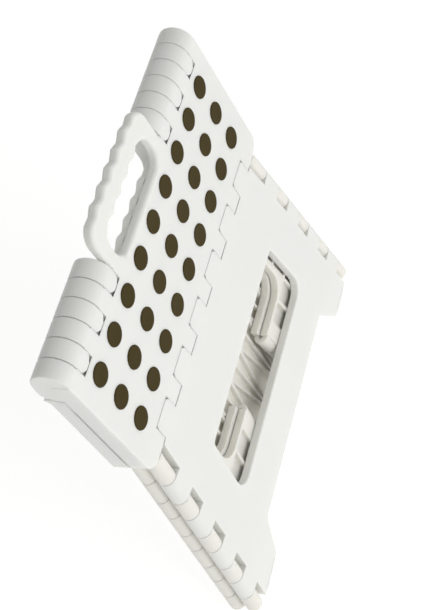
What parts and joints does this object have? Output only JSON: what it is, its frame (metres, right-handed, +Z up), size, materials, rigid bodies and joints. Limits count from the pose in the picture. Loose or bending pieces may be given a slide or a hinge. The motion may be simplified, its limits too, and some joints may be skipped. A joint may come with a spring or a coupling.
{
  "type": "step stool",
  "caption": "Folding step stool with a split top, scalloped carrying handle, raised anti-slip dots, two legs and folding end panels.",
  "frame": {"origin": "on the floor under the middle of the folded stool", "axes": "+X along the hinges, +Y from the front leg to the rear leg, +Z up"},
  "size_m": [0.3278, 0.0296, 0.3556],
  "materials": {
    "white_plastic": "satin",
    "panel_plastic": "satin",
    "olive_rubber": "matt",
    "zinc_steel": "zinc plated"
  },
  "bodies": {
    "leg_front": {"leg_front": "white_plastic", "leg_hinge_pin_front": "zinc_steel", "corner_pin_front_left": "zinc_steel", "corner_pin_front_right": "zinc_steel", "foot_pad_front_left": "olive_rubber", "foot_pad_front_right": "olive_rubber"},
    "top_front": {"top_half_front": "white_plastic", "anti_slip_mat_front": "olive_rubber", "centre_pin_left": "zinc_steel", "centre_pin_right": "zinc_steel"},
    "top_rear": {"top_half_rear": "white_plastic", "anti_slip_mat_rear": "olive_rubber"},
    "leg_rear": {"leg_rear": "white_plastic", "leg_hinge_pin_rear": "zinc_steel", "corner_pin_rear_left": "zinc_steel", "corner_pin_rear_right": "zinc_steel", "foot_pad_rear_left": "olive_rubber", "foot_pad_rear_right": "olive_rubber"},
    "panel_front_left": {"end_panel_front_left": "panel_plastic", "mid_pin_lower_left": "zinc_steel", "mid_pin_upper_left": "zinc_steel"},
    "panel_front_right": {"end_panel_front_right": "panel_plastic", "mid_pin_lower_right": "zinc_steel", "mid_pin_upper_right": "zinc_steel"},
    "panel_rear_left": {"end_panel_rear_left": "panel_plastic"},
    "panel_rear_right": {"end_panel_rear_right": "panel_plastic"}
  },
  "joints": [
    {"name": "front_fold", "type": "hinge", "parent": "leg_front", "child": "top_front", "pos_m": [0, -0.0071, 0.21], "axis": [-1, 0, 0], "range_deg": [0, 90]},
    {"name": "centre_fold", "type": "hinge", "parent": "top_front", "child": "top_rear", "pos_m": [0, 0, 0.32], "axis": [1, 0, 0], "range_deg": [0, 180]},
    {"name": "rear_fold", "type": "hinge", "parent": "top_rear", "child": "leg_rear", "pos_m": [0, 0.0071, 0.21], "axis": [-1, 0, 0], "range_deg": [0, 90]},
    {"name": "panel_front_left_swing", "type": "hinge", "parent": "leg_front", "child": "panel_front_left", "pos_m": [-0.14409, -0.0071, 0.0991], "axis": [0.134, 0, 0.991], "range_deg": [0, 90]},
    {"name": "panel_front_right_swing", "type": "hinge", "parent": "leg_front", "child": "panel_front_right", "pos_m": [0.14409, -0.0071, 0.0991], "axis": [0.134, 0, -0.991], "range_deg": [0, 90]},
    {"name": "panel_rear_left_swing", "type": "hinge", "parent": "leg_rear", "child": "panel_rear_left", "pos_m": [-0.14409, 0.0071, 0.0991], "axis": [-0.134, 0, -0.991], "range_deg": [0, 90]},
    {"name": "panel_rear_right_swing", "type": "hinge", "parent": "leg_rear", "child": "panel_rear_right", "pos_m": [0.14409, 0.0071, 0.0991], "axis": [-0.134, 0, 0.991], "range_deg": [0, 90]}
  ],
  "couplings": [
    {"joint": "centre_fold", "follows": "front_fold", "ratio": 2},
    {"joint": "rear_fold", "follows": "front_fold", "ratio": 1},
    {"joint": "panel_front_left_swing", "follows": "front_fold", "ratio": 1},
    {"joint": "panel_front_right_swing", "follows": "front_fold", "ratio": 1},
    {"joint": "panel_rear_left_swing", "follows": "front_fold", "ratio": 1},
    {"joint": "panel_rear_right_swing", "follows": "front_fold", "ratio": 1}
  ]
}
